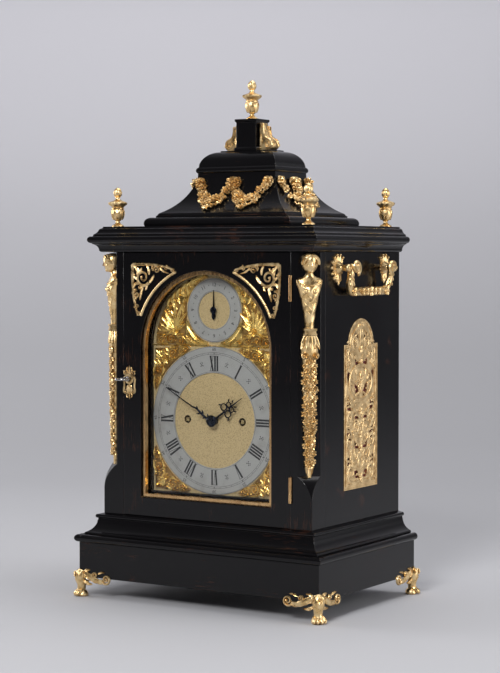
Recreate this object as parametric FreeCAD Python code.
import FreeCAD, Part
import math
import os

# Bracket clock with an ebonised case, an arched front door, gilt mounts and an eight-day movement.
# Millimetres. +X is to the right seen from the front, +Y runs to the back, +Z is up.
# The origin lies on the surface the clock stands on, under the middle of its box.

V = FreeCAD.Vector

# ---------------------------------------------------------------- driving dimensions
# Dial: the case is built round it
DIAL_HALF = 89.0
DIAL_SET = 22.0  # face of the dial behind the face of the door
DIAL_PLATE = 2.0
DIAL_OVER = 6.7  # dial's foot over the sill of the opening
RING_EDGE = 0.4  # bare edge outside the chapter ring
RING_IN = 57.2
RING_THICK = 1.2
ARCH_OVER = 7.9  # gap between the arch ring and the top of the dial
ARCH_UNDER = 4.7  # gap between the arch ring and the square of the dial
ARCH_BAND = 15.8  # width of the arch ring
ARCH_STEM_R = 1.6
SPANDREL_THICK = 2.0
WIND_X = 39.1
WIND_R = 4.9
# Hands
MINUTE_SHORT = 13.0  # how far the minute hand ends inside the dial's edge
HOUR_LONG = 50.0
HAND_THICK = 0.9
HOUR_AT = 55.0  # where the hour hand stands, clockwise from twelve
MINUTE_AT = 300.0
HOUR_PIPE_R = 3.4
CANNON_PIPE_R = 2.2
CANNON_TIP_R = 1.5
# Door
SIGHT_OUT = 4.0  # glazed opening wider than the dial, each side
SPRING_DROP = 2.9  # arch of the opening springs this much under the dial's
DOOR_GAP = 0.5  # gap all round the door
DOOR_BEVEL = 1.2  # how far the closing edge of the door leans back
DOOR_THICK = 18.0
STILE = 26.0  # wood beside the opening
FOOT_RAIL = 23.0  # wood under it
HEAD_RAIL = 22.2  # wood over its arch
BEAD = 4.5  # width of the brass lining of the opening
BEAD_DEEP = 6.0
BEAD_SET = 3.0  # how far the lining lies behind the face of the door
GLASS = 2.5
GLASS_LAP = 3.0  # how far the glass reaches behind the lining
GLASS_SLACK = 0.3
HINGE_R = 2.0
HINGE_PIN_R = 0.8
HINGE_LONG = 30.0
HINGE_DOWN = 42.1  # upper hinge under the top of the case
HINGE_UP = 45.0  # lower hinge over its foot
HINGE_PROUD = 1.0  # hinge axis in front of the door's face
HINGE_ASIDE = 0.3  # hinge axis beside the door's edge
KNUCKLE_GAP = 0.15
LEAF = 1.2  # thickness of a hinge leaf
LEAF_WIDE = 12.0
FRET_PLATE = 1.8  # thickness of the pierced corners on the door
# Lock and key
KEY_INSET = 9.5  # key inside the door's edge
KEY_Z = 268.0
SHANK_R = 2.0
KEY_CLEAR = 0.6
KEY_PROUD = 25.0
BOW_R = 8.2
BOW_HOLE_R = 5.0
BOW_THICK = 3.0
BIT_LONG = 5.5
BOLT_RISE = 7.0  # bolt over the key
BOLT_THROW = 5.0
BOLT_HIGH = 8.0
BOLT_THICK = 3.0
BOLT_TAIL = 6.0  # inner end of the bolt past the key
ESCUTCHEON = 1.4
# Case
POST_WIDE = 29.0
POST_DEPTH = 30.0
CASE_DEPTH = 211.0  # front of the posts to the back of the case
CASE_FOOT = 101.6  # height of the bottom of the glazed case
WALL = 14.0  # side panels
PLINTH_OUT = 21.9  # how far the plinth stands out from the case
PLINTH_Z0 = 24.2
PLINTH_Z1 = 67.0
CHAMFER = 19.4  # leg of the post's corner chamfer
STOP_LOW = 134.0  # the chamfer's lower stop begins here
STOP_HIGH = 163.0  # and ends here
CORNICE_RISE = 31.0
TOP_BOARD = 14.0
# Movement
PLATE_HALF = 66.0
PLATE_LOW = 126.0
PLATE_HIGH = 316.0
PLATE_THICK = 2.5
PLATE_GAP = 54.0  # clear distance between the plates
DIAL_TO_PLATE = 13.0
RAIL_HALF = 8.0  # half the width of a rail that the plates stand on
PILLAR_R = 4.0
PILLAR_INSET = 9.0
ARBOR_R = 0.85
WINDING_R = 3.6
CENTRE_R = 2.0
STUD_R = 1.4  # stud that the minute wheel turns on
RUN = 0.06  # radial running clearance of an arbor in its hole
AIR = 0.4  # gap between pieces that pass each other
COCK_REACH = 16.0
CRUTCH_LONG = 42.0
PENDULUM_ROD_R = 1.5
BOB_R = 20.0
BOB_CLEAR = 5.8  # bob's rim over the floor of the case
PIN_COUNT = 8
STRIKE_PIN_R = 0.8
PIN_RING = 13.4
TAIL_CLEAR = 0.4
BELL_R = 34.0
BELL_HIGH = 26.0
BELL_WALL = 2.0
# Back door
BACK_THICK = 12.0
BACK_GAP = 0.5
BACK_STILE = 22.0
BACK_LAP = 5.0  # how far its glass reaches behind the wood
BACK_PIN_R = 2.0
BACK_PIN_LONG = 8.0
LATCH_INSET = 12.0  # knob inside the wall
LATCH_LONG = 15.5  # from the knob's middle to the end of the tongue
LATCH_HALF = 3.5  # half the width of the tongue
LATCH_STEM_R = 2.5
# Side frets and handles
FRET_Y = 19.45  # middle of the side openings
FRET_HALF = 40.7
FRET_LOW = 140.1
FRET_SHOULDER = 312.1
FRET_CROWN = 30.7
FRET_THICK = 2.0
SILK_THICK = 0.8
SILK_LIP = 3.0  # how far the fret and its silk overlap the wall behind them
HANDLE_SPAN = 112.0
HANDLE_Y = 20.45
HANDLE_DOWN = 18.6  # handle's pivots under the top of the case
HANDLE_OUT = 13.5
SHELL_THICK = 2.4
SOCKET_R = 3.6
PIVOT_R = 1.5
PIVOT_LONG = 5.0
BAIL_DROP = 28.0
BAIL_R = 2.6
BAIL_LEAN = 5.0
# Caddy and pedestal
CADDY_SET = 43.5  # caddy inside the width of the case, each side
CADDY_LESS = 21.5  # how much shallower than wide the caddy is, each way
BELL_SET = 12.5  # its bell inside its base
BELL_LESS = 20.0  # the bell is this much shallower than wide, each way
NECK_SET = 36.0  # neck of the bell inside its foot
BASE_RISE = 13.4
BELL_RISE = 52.0
CAP_RISE = 26.0
CAP_STEP = 1.5
BLOCK_HALF = 14.0
BLOCK_RISE = 39.7
BLOCK_PLINTH = 2.0
# Mounts, finials and feet
SWAG_THICK = 3.2
CONSOLE_HALF = 9.0
CARYATID_HIGH = 271.0
CARYATID_SIDES = 6
FINIAL_HIGH = 48.0
FINIAL_INSET = 12.5
WING_LONG = 48.0
WING_THICK = 3.0
PAW_OUT = 9.2  # how far the paws reach past the plinth
PAW_SET = 6.0  # middle of the paw inside the plinth's corner, along the diagonal

# ---------------------------------------------------------------- places worked out from them
SIGHT_HALF = DIAL_HALF + SIGHT_OUT
DOOR_HALF = SIGHT_HALF + STILE
CASE_HALF = DOOR_HALF + POST_WIDE
INNER_HALF = CASE_HALF - WALL
PLINTH_HALF = CASE_HALF + PLINTH_OUT
DEPTH_ALL = CASE_DEPTH + PLINTH_OUT + 2 * PAW_OUT
BACK_Y = DEPTH_ALL / 2 - PAW_OUT
FRONT_Y = BACK_Y - CASE_DEPTH
PLINTH_FRONT = FRONT_Y - PLINTH_OUT
DOOR_Y1 = FRONT_Y + DOOR_THICK
GLASS_Y = FRONT_Y + BEAD_SET + BEAD_DEEP
DIAL_Y = FRONT_Y + DIAL_SET
HOUR_Y = DIAL_Y - RING_THICK - 2.6
MINUTE_Y = HOUR_Y - 3.4
MINUTE_LONG = DIAL_HALF - MINUTE_SHORT
FRONT_PLATE_Y = DIAL_Y + DIAL_PLATE + DIAL_TO_PLATE
INNER_Y0 = FRONT_PLATE_Y + PLATE_THICK
INNER_Y1 = INNER_Y0 + PLATE_GAP
BACK_PLATE_Y1 = INNER_Y1 + PLATE_THICK
ROD_Y = BACK_PLATE_Y1 + COCK_REACH + 4.5
BELL_AT_Y = INNER_Y0 + PLATE_GAP / 2
CADDY_Y = BACK_Y - CASE_DEPTH / 2
# heights
SIGHT_SILL = CASE_FOOT + FOOT_RAIL
DIAL_FOOT = SIGHT_SILL + DIAL_OVER
HAND_Z = DIAL_FOOT + DIAL_HALF
DIAL_SHOULDER = HAND_Z + DIAL_HALF
ARCH_R = (DIAL_HALF - ARCH_OVER - ARCH_UNDER) / 2
ARCH_IN = ARCH_R - ARCH_BAND
ARCH_Z = DIAL_SHOULDER + ARCH_UNDER + ARCH_R
SIGHT_SPRING = DIAL_SHOULDER - SPRING_DROP
CASE_TOP = SIGHT_SPRING + SIGHT_HALF + HEAD_RAIL
CASE_HEIGHT = CASE_TOP - CASE_FOOT
CORNICE_TOP = CASE_TOP + CORNICE_RISE
HINGE_HIGH = CASE_TOP - HINGE_DOWN
HINGE_LOW = CASE_FOOT + HINGE_UP
HANDLE_Z = CASE_TOP - HANDLE_DOWN
CARYATID_FOOT = CASE_TOP - 1.0 - CARYATID_HIGH
BELL_LOW = PLATE_HIGH + 38.0
BELL_FOOT = CORNICE_TOP + BASE_RISE
BELL_TOP = BELL_FOOT + BELL_RISE
CAP_TOP = BELL_TOP + CAP_RISE
BLOCK_TOP = CAP_TOP + BLOCK_RISE
# caddy
CADDY_HALF = CASE_HALF - CADDY_SET
BELL_HALF = CADDY_HALF - BELL_SET
NECK_HALF = BELL_HALF - NECK_SET
# door furniture
KEY_X = KEY_INSET - DOOR_HALF
BOLT_X1 = KEY_X + BOLT_TAIL
BOLT_Y = DOOR_Y1 - 7.0
BOLT_Z0 = KEY_Z + BOLT_RISE
BIT_Y = GLASS_Y - 1.0
HINGE_X = DOOR_HALF + HINGE_ASIDE
HINGE_Y = FRONT_Y - HINGE_PROUD
# back door
BACK_PIVOT_X = INNER_HALF - BACK_GAP - BACK_THICK / 2
BACK_PIVOT_Y = BACK_Y - BACK_THICK / 2
BACK_SIGHT_HALF = INNER_HALF - BACK_STILE - BACK_THICK
BACK_SIGHT_SILL = CASE_FOOT + 34.0
BACK_SIGHT_HEAD = CASE_TOP - 22.0
LATCH_X = LATCH_INSET - INNER_HALF
LATCH_Z = CASE_FOOT + CASE_HEIGHT / 2
LATCH_Y0 = BACK_Y - BACK_THICK - 3.0
LATCH_Y1 = LATCH_Y0 + 2.0

parts = {}


def keep(name, *solids):
    """Files one sub-part, made of one or more solids."""
    parts[name] = solids[0] if len(solids) == 1 else Part.makeCompound(list(solids))


# ---------------------------------------------------------------- small tools
def block(x0, x1, y0, y1, z0, z1):
    """Box between two corners."""
    return Part.makeBox(x1 - x0, y1 - y0, z1 - z0, V(x0, y0, z0))


def turned_y(x, z, y0, y1, radius):
    """Round bar along Y."""
    return Part.makeCylinder(radius, y1 - y0, V(x, y0, z), V(0, 1, 0))


def turned_z(x, y, z0, z1, radius):
    """Round bar along Z."""
    return Part.makeCylinder(radius, z1 - z0, V(x, y, z0), V(0, 0, 1))


def ring_y(x, z, y0, y1, outer, inner):
    """Washer with its axis along Y."""
    return turned_y(x, z, y0, y1, outer).cut(turned_y(x, z, y0 - 1, y1 + 1, inner))


def outline(steps, place):
    """Closed wire. A step is a corner (u, v), or (mid, end), which reaches end by an arc through mid.
    place turns a flat point (u, v) into a point in space."""
    first = place(*steps[0])
    here = first
    edges = []
    for step in list(steps[1:]) + [steps[0]]:
        if isinstance(step[0], tuple):
            there = place(*step[1])
            edges.append(Part.Arc(here, place(*step[0]), there).toShape())
        else:
            there = place(*step)
            if (there - here).Length < 1e-6:
                continue
            edges.append(Part.makeLine(here, there))
        here = there
    return Part.Wire(edges)


def slab_y(steps, y0, y1):
    """Outline drawn in X and Z, as thick as y0 to y1."""
    wire = outline(steps, lambda u, v: V(u, y0, v))
    return Part.Face(wire).extrude(V(0, y1 - y0, 0))


def slab_x(steps, x0, x1):
    """Outline drawn in Y and Z, as thick as x0 to x1."""
    wire = outline(steps, lambda u, v: V(x0, u, v))
    return Part.Face(wire).extrude(V(x1 - x0, 0, 0))


def slab_z(steps, z0, z1):
    """Outline drawn in X and Y, as thick as z0 to z1."""
    wire = outline(steps, lambda u, v: V(u, v, z0))
    return Part.Face(wire).extrude(V(0, 0, z1 - z0))


def straight(steps):
    """The same outline with each arc cut to two short straights through its middle."""
    flat = []
    for step in steps:
        flat += list(step) if isinstance(step[0], tuple) else [step]
    return flat


def lathe(steps, foot, axis=V(0, 0, 1)):
    """Solid of revolution: steps are (radius, height) from the foot along the axis.
    Curves are turned as two short tapers, which keeps small turned work light."""
    wire = outline(straight(steps), lambda u, v: V(u, 0, v))
    solid = Part.Face(wire).revolve(V(0, 0, 0), V(0, 0, 1), 360)
    solid.Placement = FreeCAD.Placement(foot, FreeCAD.Rotation(V(0, 0, 1), axis))
    return solid


def ball(centre, radius, axis=V(0, 0, 1)):
    """Small turned ball."""
    low = radius * 0.72
    steps = [(0.0, -radius), (low, -low), (radius, 0.0), (low, low), (0.0, radius)]
    return lathe(steps, centre, axis)


def mirrored(shape):
    """The same piece on the other side of the clock."""
    return shape.mirror(V(0, 0, 0), V(1, 0, 0))


def shifted(steps, du, dv=0.0):
    """Steps of an outline, moved."""
    moved = []
    for step in steps:
        if isinstance(step[0], tuple):
            moved.append(((step[0][0] + du, step[0][1] + dv), (step[1][0] + du, step[1][1] + dv)))
        else:
            moved.append((step[0] + du, step[1] + dv))
    return moved


def fused(first, *others):
    """One solid of several that meet."""
    return first.fuse(list(others)).removeSplitter() if others else first


# ---------------------------------------------------------------- case carcase
def half_profile(steps, half):
    """Both sides of a moulded section whose projections are measured from +-half."""
    right = shifted(steps, half)
    left = []
    ends = [s[1] if isinstance(s[0], tuple) else s for s in right]
    for i in range(len(right) - 1, -1, -1):
        point = (-ends[i][0], ends[i][1])
        if i + 1 < len(right) and isinstance(right[i + 1][0], tuple):
            mid = right[i + 1][0]
            left.append(((-mid[0], mid[1]), point))
        else:
            left.append(point)
    return right + left


def moulded(steps, half, y_front, y_back):
    """Moulding that runs round the front and both sides, mitred at the front and cut flush at the back."""
    along = slab_y(half_profile(steps, half), y_front - 100, y_back)
    front = []
    for step in steps:
        if isinstance(step[0], tuple):
            front.append(((y_front - step[0][0], step[0][1]), (y_front - step[1][0], step[1][1])))
        else:
            front.append((y_front - step[0], step[1]))
    top = steps[-1][1][1] if isinstance(steps[-1][0], tuple) else steps[-1][1]
    across = slab_x(front + [(y_back, top), (y_back, steps[0][1])], -half - 100, half + 100)
    return along.common(across)


def stacked(steps, less):
    """Four-sided turned shape about the caddy's middle: half widths at heights, less deep by less."""
    full = slab_y(half_profile(steps, 0), CADDY_Y - 300, CADDY_Y + 300)
    deep = slab_x(shifted(half_profile(steps, -less), CADDY_Y), -300, 300)
    return full.common(deep)


def make_plinth():
    low = block(-PLINTH_HALF, PLINTH_HALF, PLINTH_FRONT, BACK_Y, PLINTH_Z0, PLINTH_Z1)
    core = block(-INNER_HALF, INNER_HALF, FRONT_Y + WALL, BACK_Y, PLINTH_Z1, CASE_FOOT)
    rails = [
        block(x - RAIL_HALF, x + RAIL_HALF, FRONT_PLATE_Y - 3, BACK_PLATE_Y1 + 8, CASE_FOOT, PLATE_LOW)
        for x in (-PLATE_HALF + 12, PLATE_HALF - 12)
    ]
    return fused(low, core, *rails)


BASE_PROFILE = [
    (22.3, PLINTH_Z1),
    ((26.7, 70.8), (18.5, 74.5)),
    (16.9, 74.5),
    ((17.7, 76.5), (16.9, 78.5)),
    (14.7, 79.5),
    ((9.0, 84.6), (6.1, 92.2)),
    (5.4, 95.0),
    (5.4, 95.6),
    ((7.9, 98.0), (5.4, 100.4)),
    (0.0, CASE_FOOT),
]

CORNICE_PROFILE = [
    (0.0, CASE_TOP),
    (2.7, CASE_TOP + 0.4),
    (4.0, CASE_TOP + 2.0),
    ((5.6, CASE_TOP + 7.0), (10.1, CASE_TOP + 9.9)),
    (10.4, CASE_TOP + 10.9),
    ((14.6, CASE_TOP + 15.3), (9.5, CASE_TOP + 19.2)),
    (8.8, CASE_TOP + 21.7),
    ((5.6, CASE_TOP + 24.2), (4.4, CASE_TOP + 26.6)),
    (3.7, CASE_TOP + 28.0),
    (0.6, CASE_TOP + 29.6),
    (0.6, CORNICE_TOP),
]


def make_base_moulding():
    whole = moulded(BASE_PROFILE, CASE_HALF, FRONT_Y, BACK_Y)
    return whole.cut(block(-INNER_HALF, INNER_HALF, FRONT_Y + WALL, BACK_Y + 1, PLINTH_Z1 - 1, CASE_FOOT + 1))


def make_cornice():
    whole = moulded(CORNICE_PROFILE, CASE_HALF, FRONT_Y, BACK_Y)
    return whole.cut(
        block(-INNER_HALF, INNER_HALF, FRONT_Y + WALL, BACK_Y + 1, CASE_TOP - 1, CORNICE_TOP + 1)
    )


def make_top_board():
    return block(-INNER_HALF, INNER_HALF, FRONT_Y + WALL, BACK_Y, CORNICE_TOP - TOP_BOARD, CORNICE_TOP)


def make_post():
    """Right-hand corner post: a stopped chamfer on its outer corner, and a mortice on its inner face."""
    post = block(DOOR_HALF, CASE_HALF, FRONT_Y, FRONT_Y + POST_DEPTH, CASE_FOOT, CASE_TOP)
    leg = CHAMFER
    side = [
        (CASE_HALF - leg, FRONT_Y - 1),
        (CASE_HALF - leg, FRONT_Y),
        (CASE_HALF, FRONT_Y + leg),
        (CASE_HALF + 1, FRONT_Y + leg),
        (CASE_HALF + 1, FRONT_Y - 1),
    ]
    post = post.cut(slab_z(side, STOP_HIGH, CASE_TOP + 1))
    # the lamb's tongue: a hollow curve from the full chamfer down to the square corner
    tip = V(CASE_HALF, FRONT_Y, STOP_LOW)
    reach = leg / math.sqrt(2)
    rise = STOP_HIGH - STOP_LOW
    inward = V(-1, 1, 0).normalize()
    top_in = tip + inward * reach + V(0, 0, rise)
    mid = tip + inward * (reach * 0.30) + V(0, 0, rise * 0.55)
    tongue_face = Part.Face(
        Part.Wire(
            [
                Part.Arc(tip, mid, top_in).toShape(),
                Part.makeLine(top_in, tip + V(0, 0, rise) - inward * 2),
                Part.makeLine(tip + V(0, 0, rise) - inward * 2, tip - inward * 2),
                Part.makeLine(tip - inward * 2, tip),
            ]
        )
    )
    across = V(1, 1, 0).normalize()
    tongue = tongue_face.copy()
    tongue.translate(across * -60)
    post = post.cut(tongue.extrude(across * 120))
    return post


def make_corner_posts():
    right = make_post()
    left = mirrored(right)
    mortice = block(
        -DOOR_HALF - BOLT_THROW - 2,
        -DOOR_HALF + 1,
        BOLT_Y - AIR,
        BOLT_Y + BOLT_THICK + AIR,
        BOLT_Z0 - AIR,
        BOLT_Z0 + BOLT_HIGH + AIR,
    )
    for z in (HINGE_HIGH, HINGE_LOW):
        right = right.cut(hinge_room(z)).cut(leaf_box(z, -1, 0.0))
    return left.cut(mortice), right


def fret_outline(less=0.0):
    """Outline of the side opening in Y and Z: square shoulders and a round crown."""
    half = FRET_HALF - less
    low = FRET_LOW + less
    high = FRET_SHOULDER - less
    crown = FRET_CROWN - less
    return [
        (FRET_Y - half, low),
        (FRET_Y + half, low),
        (FRET_Y + half, high),
        (FRET_Y + crown, high),
        ((FRET_Y, high + crown), (FRET_Y - crown, high)),
        (FRET_Y - half, high),
    ]


def make_side_panel():
    panel = block(INNER_HALF, CASE_HALF, FRONT_Y + POST_DEPTH, BACK_Y, CASE_FOOT, CASE_TOP)
    rebate = slab_x(fret_outline(), CASE_HALF - FRET_THICK - SILK_THICK, CASE_HALF + 1)
    through = slab_x(fret_outline(SILK_LIP), INNER_HALF - 1, CASE_HALF)
    return panel.cut(rebate).cut(through)


def make_side_panels():
    """Both sides: the left one has the slot that the back door's catch turns into."""
    right = make_side_panel()
    # the tongue turns down into its slot, so the slot is as high as the tongue's corner sweeps
    sweep = math.hypot(LATCH_LONG, LATCH_HALF)
    slot = block(
        LATCH_X - sweep - AIR,
        -INNER_HALF + 1,
        LATCH_Y0 - AIR,
        LATCH_Y1 + AIR,
        LATCH_Z - LATCH_HALF - AIR,
        LATCH_Z + math.sqrt(sweep**2 - LATCH_INSET**2) + AIR,
    )
    return mirrored(right).cut(slot), right



# ---------------------------------------------------------------- caddy top
CADDY_PROFILE = [
    (CADDY_HALF - 1.5, CORNICE_TOP),
    ((CADDY_HALF - 0.6, CORNICE_TOP + 6.0), (CADDY_HALF - 9.0, CORNICE_TOP + 10.9)),
    (CADDY_HALF - 11.0, CORNICE_TOP + 10.9),
    (CADDY_HALF - 11.0, BELL_FOOT),
]
BELL_PROFILE = [
    (BELL_HALF, BELL_FOOT),
    (BELL_HALF - 1.8, BELL_FOOT + 2.8),
    ((BELL_HALF - 23.4, BELL_FOOT + 20.5), (NECK_HALF, BELL_TOP - 5.0)),
    (NECK_HALF - 0.2, BELL_TOP),
]
CAP_PROFILE = [
    (NECK_HALF, BELL_TOP),
    ((NECK_HALF + 1.7, BELL_TOP + 3.3), (NECK_HALF, BELL_TOP + 6.6)),
    (NECK_HALF - 0.8, BELL_TOP + 7.2),
    ((NECK_HALF - 4.4, BELL_TOP + 17.5), (NECK_HALF - 18.0, CAP_TOP)),
    (NECK_HALF - 20.3, CAP_TOP),
    (NECK_HALF - 20.3, CAP_TOP + CAP_STEP),
]


def make_pedestal():
    z0 = CAP_TOP + CAP_STEP
    half = BLOCK_HALF
    steps = [
        (half + BLOCK_PLINTH, z0),
        (half + BLOCK_PLINTH, z0 + 2.5),
        (half, z0 + 4.5),
        (half, BLOCK_TOP - 4.0),
        (half + 1.5, BLOCK_TOP - 2.5),
        (half + 1.5, BLOCK_TOP),
    ]
    return stacked(steps, 0.0)


FINIAL_PROFILE = [
    (0.0, 0.0),
    (7.6, 0.0),
    (7.6, 1.6),
    (3.9, 3.4),
    (2.9, 6.4),
    (8.2, 10.6),
    (9.2, 15.5),
    (7.2, 20.6),
    (11.6, 24.4),
    (11.6, 27.4),
    (5.2, 31.4),
    (3.2, 35.6),
    (5.1, 40.4),
    (2.6, 45.6),
    (0.0, FINIAL_HIGH),
]


def make_finials():
    inset = FINIAL_INSET
    places = [
        V(side * (CASE_HALF - inset), y, CORNICE_TOP)
        for side in (-1, 1)
        for y in (FRONT_Y + inset, BACK_Y - inset)
    ]
    places.append(V(0, CADDY_Y, BLOCK_TOP))
    return [lathe(FINIAL_PROFILE, place) for place in places]


def make_console():
    """Right-hand leafy scroll that leans against the pedestal."""
    x0 = BLOCK_HALF + BLOCK_PLINTH + AIR / 2
    z0 = CAP_TOP + CAP_STEP
    high = 34.0
    steps = [
        (x0, z0 + 2.5),
        (x0 + 4.0, z0),
        (x0 + 13.0, z0),
        ((x0 + 19.5, z0 + 7.0), (x0 + 13.0, z0 + 14.0)),
        ((x0 + 6.0, z0 + 17.5), (x0 + 4.0, z0 + 26.0)),
        ((x0 + 2.8, z0 + high), (x0 - 1.5, z0 + high - 1.0)),
        (x0 - 1.5, z0 + 6.0),
        (x0, z0 + 6.0),
    ]
    scroll = slab_y(steps, CADDY_Y - CONSOLE_HALF, CADDY_Y + CONSOLE_HALF)
    eye = turned_y(x0 + 11.5, z0 + 7.0, CADDY_Y - CONSOLE_HALF - 2, CADDY_Y + CONSOLE_HALF + 2, 4.6)
    return fused(scroll, eye)


# ---------------------------------------------------------------- gilt mounts
def festoon(u0, v0, u1, v1, sag, fat):
    """Scalloped crescent of flowers between two points, drawn flat: u sideways, v up."""
    lobes = 6
    lower = []
    upper = []
    for i in range(2 * lobes + 1):
        t = i / (2 * lobes)
        swell = math.sin(math.pi * t)
        bump = 1.1 if i % 2 else 0.0
        u = u0 + (u1 - u0) * t
        v = v0 + (v1 - v0) * t - sag * 4 * t * (1 - t)
        half = 1.6 + fat * swell + bump
        lower.append((u, v - half))
        upper.append((u, v + half))
    return lower + upper[::-1]


def bell_half(z):
    """Half width of the bell-shaped caddy at a height, on its arc."""
    (mid, end) = BELL_PROFILE[2]
    start = BELL_PROFILE[1]
    arc = Part.Arc(V(start[0], 0, start[1]), V(mid[0], 0, mid[1]), V(end[0], 0, end[1])).toShape().Curve
    centre = arc.Center
    drop = arc.Radius**2 - (z - centre.z) ** 2
    return centre.x - math.sqrt(max(drop, 0.0))


def make_swag(width, face):
    """Flower swag bent over the hollow face of the caddy. face is front, left or right."""
    high = BELL_TOP - 12.0
    fat = 3.4
    sag = 24.0
    dip = high - 1.5
    pieces = [festoon(-width, high, 0.0, dip, sag, fat), festoon(0.0, dip, width, high, sag, fat)]
    low_z = BELL_FOOT + 5.0
    high_z = BELL_TOP - 5.5
    start = (bell_half(low_z), low_z)
    mid = (bell_half((low_z + high_z) / 2), (low_z + high_z) / 2)
    end = (bell_half(high_z), high_z)
    skin = [
        start,
        (mid, end),
        (end[0] + SWAG_THICK, end[1]),
        ((mid[0] + SWAG_THICK, mid[1] + SWAG_THICK * 0.5), (start[0] + SWAG_THICK, start[1] + SWAG_THICK)),
    ]
    if face == "front":
        shell = slab_x([flip(s, CADDY_Y + BELL_LESS) for s in skin], -width - 9, width + 9)
        cutter = [slab_y(p, CADDY_Y - CADDY_HALF, CADDY_Y) for p in pieces]
    else:
        shell = slab_y(skin, CADDY_Y - width - 9, CADDY_Y + width + 9)
        cutter = [slab_x(shifted(p, CADDY_Y), 0, CADDY_HALF) for p in pieces]
    swag = shell.common(fused(cutter[0], cutter[1]))
    return mirrored(swag) if face == "left" else swag


def flip(step, middle):
    """Turns a half width into a place on the front of the caddy."""
    if isinstance(step[0], tuple):
        return ((middle - step[0][0], step[0][1]), (middle - step[1][0], step[1][1]))
    return (middle - step[0], step[1])


CARYATID_PROFILE = [
    (0.0, 0.0),
    (1.2, 3.0),
    (3.4, 40.0),
    (5.4, 80.0),
    (8.6, 128.0),
    ((10.8, 148.0), (10.4, 161.0)),
    (6.4, 172.0),
    (5.6, 176.5),
    (6.9, 178.0),
    (6.9, 184.0),
    (5.8, 186.5),
    ((6.6, 200.0), (9.6, 214.0)),
    ((13.4, 228.0), (14.6, 238.0)),
    ((11.0, 243.4), (4.8, 245.4)),
    (4.4, 250.0),
    ((11.2, 260.0), (4.6, 270.2)),
    (0.0, CARYATID_HIGH),
]


def make_caryatid():
    """Right-hand bust on a tapering drop, cast with a flat back that lies on the chamfer."""
    middle = V(CASE_HALF - CHAMFER / 2, FRONT_Y + CHAMFER / 2, CARYATID_FOOT)
    steps = straight(CARYATID_PROFILE)
    sections = []
    for half, z in steps[1:-1]:
        deep = half * 0.62
        points = []
        for i in range(CARYATID_SIDES + 1):
            a = math.pi * i / CARYATID_SIDES
            points.append(V(half * math.cos(a), -deep * math.sin(a), z))
        sections.append(Part.makePolygon(points + [points[0]]))
    figure = Part.makeLoft(sections, True, True)
    figure.Placement = FreeCAD.Placement(middle, FreeCAD.Rotation(V(0, 0, 1), 45))
    return figure.cut(make_post())


def make_foot(side, rear):
    """Paw foot with a leafy scroll wing along each face of the plinth."""
    corner = V(side * PLINTH_HALF, BACK_Y if rear else PLINTH_FRONT, 0)
    toward = 1 if rear else -1
    long = WING_LONG
    thick = WING_THICK
    wing = [
        (0.0, 12.0),
        (8.0, 14.5),
        ((22.0, 21.0), (31.0, 18.5)),
        ((40.0, 15.5), (long, 20.5)),
        (long, 27.0),
        ((38.0, 27.5), (30.0, 31.5)),
        ((18.0, 35.0), (0.0, 31.0)),
    ]
    # along the side face, running away from the corner
    pieces = []
    away = -toward
    # the two wings of a front foot are joined round the corner of the plinth
    lap = [] if rear else [(-thick, 31.0), (-thick, 12.0)]
    side_wing = [step_at(s, corner.y, away) for s in wing + lap]
    x0 = corner.x if side > 0 else corner.x - thick
    pieces.append(slab_x(side_wing, x0, x0 + thick))
    if not rear:
        front_wing = [step_at(s, corner.x, -side) for s in wing]
        pieces.append(slab_y(front_wing, corner.y - thick, corner.y))
    # the paw: a pad with three toes on the diagonal, and a leg that spreads under the plinth's corner
    diagonal = V(side, toward, 0).normalize()
    across = V(-diagonal.y, diagonal.x, 0)
    heel = corner - diagonal * PAW_SET
    pieces.append(stepped_loft(PAW_PLAN, PAW_STEPS, heel, diagonal, across))
    pieces.append(stepped_loft(LEG_PLAN, LEG_STEPS, heel, diagonal, across))
    return fused(pieces[0], *pieces[1:])


PAW_PLAN = [
    (-9.0, 6.5),
    (-1.0, 10.5),
    (7.0, 11.5),
    (10.5, 8.5),
    (8.0, 4.6),
    (13.5, 3.2),
    (13.5, -3.2),
    (8.0, -4.6),
    (10.5, -8.5),
    (7.0, -11.5),
    (-1.0, -10.5),
    (-9.0, -6.5),
]
PAW_STEPS = [(0.0, 0.96), (3.5, 1.0), (7.5, 0.94), (11.5, 0.62)]
LEG_CUT = 0.42  # where the leg's corners are cut off, as a share of its half width
LEG_PLAN = [
    (1.0, -LEG_CUT),
    (1.0, LEG_CUT),
    (LEG_CUT, 1.0),
    (-LEG_CUT, 1.0),
    (-1.0, LEG_CUT),
    (-1.0, -LEG_CUT),
    (-LEG_CUT, -1.0),
    (LEG_CUT, -1.0),
]
LEG_STEPS = [(8.0, 7.0), (15.0, 7.6), (PLINTH_Z0, 11.4)]


def stepped_loft(plan, steps, middle, ahead, across):
    """Loft through one plan at several heights. Each step is (height, share of the plan's size)."""
    sections = []
    for z, share in steps:
        points = [middle + ahead * (u * share) + across * (v * share) + V(0, 0, z) for u, v in plan]
        sections.append(Part.makePolygon(points + [points[0]]))
    return Part.makeLoft(sections, True, True)


def step_at(step, start, way):
    """Lays a flat outline along an axis from start in the direction way."""
    if isinstance(step[0], tuple):
        return ((start + way * step[0][0], step[0][1]), (start + way * step[1][0], step[1][1]))
    return (start + way * step[0], step[1])


# ---------------------------------------------------------------- front door
def arch_outline(less=0.0):
    """Outline of the glazed opening in X and Z, drawn in by less."""
    half = SIGHT_HALF - less
    return [
        (-half, SIGHT_SILL + less),
        (half, SIGHT_SILL + less),
        (half, SIGHT_SPRING),
        ((0.0, SIGHT_SPRING + half), (-half, SIGHT_SPRING)),
    ]


def hinge_room(z, grow=AIR):
    """Space that the knuckles of a door hinge take out of the wood."""
    half = HINGE_LONG / 2 + grow
    return turned_z(HINGE_X, HINGE_Y, z - half, z + half, HINGE_R + grow)


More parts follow.
